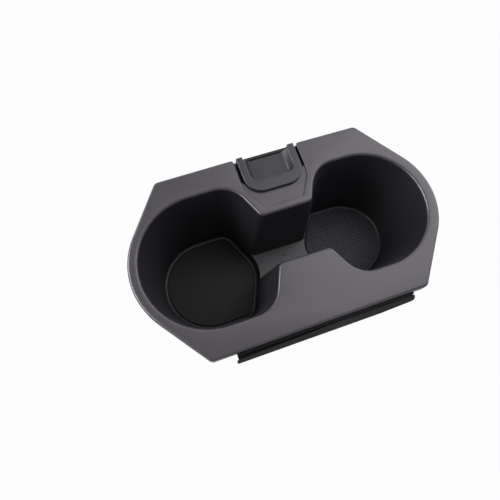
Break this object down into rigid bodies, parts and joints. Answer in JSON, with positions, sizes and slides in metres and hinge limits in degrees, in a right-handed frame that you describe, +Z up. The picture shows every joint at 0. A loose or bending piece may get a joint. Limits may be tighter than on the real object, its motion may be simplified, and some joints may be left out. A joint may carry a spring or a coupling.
{
  "type": "car cup holder",
  "caption": "Drop-in double cup holder: a large and a small cup joined by a bay with a raised shelf, rubber floor mats, a sprung finger-pull latch at the back and a slide rail in front.",
  "frame": {"origin": "centre of the bounding box in plan, at the undersides of the two cups", "axes": "+X along the deck from the large cup to the small cup, +Y from the slide rail to the latch, +Z up out of the cups"},
  "size_m": [0.2212, 0.14, 0.0762],
  "materials": {
    "tray_plastic": "satin grey moulding with a fine grain",
    "knob_plastic": "satin grey moulding, as the tray",
    "large_mat_rubber": "smooth black rubber",
    "small_mat_rubber": "dark rubber with a fine grid of raised dots",
    "latch_plastic": "plain black moulding",
    "rail_plastic": "black moulding with a speckled matt texture",
    "screw_steel": "zinc-plated steel",
    "spring_steel": "bright spring wire"
  },
  "bodies": {
    "tray": {"tray": "tray_plastic", "large_cup_mat": "large_mat_rubber", "small_cup_mat": "small_mat_rubber", "slide_rail": "rail_plastic", "latch_retainer": "latch_plastic", "retainer_screws": "screw_steel", "latch_spring_left": "spring_steel", "latch_spring_right": "spring_steel"},
    "latch": {"latch_knob": "knob_plastic", "latch_slider": "latch_plastic", "knob_screws": "screw_steel"}
  },
  "joints": [
    {"name": "latch_slide", "type": "slide", "parent": "tray", "child": "latch", "axis": [0, -1, 0], "range_m": [0, 0.005], "stiffness_N_per_m": 1900, "springref_m": -0.003, "deforming": ["latch_spring_left", "latch_spring_right"]}
  ]
}
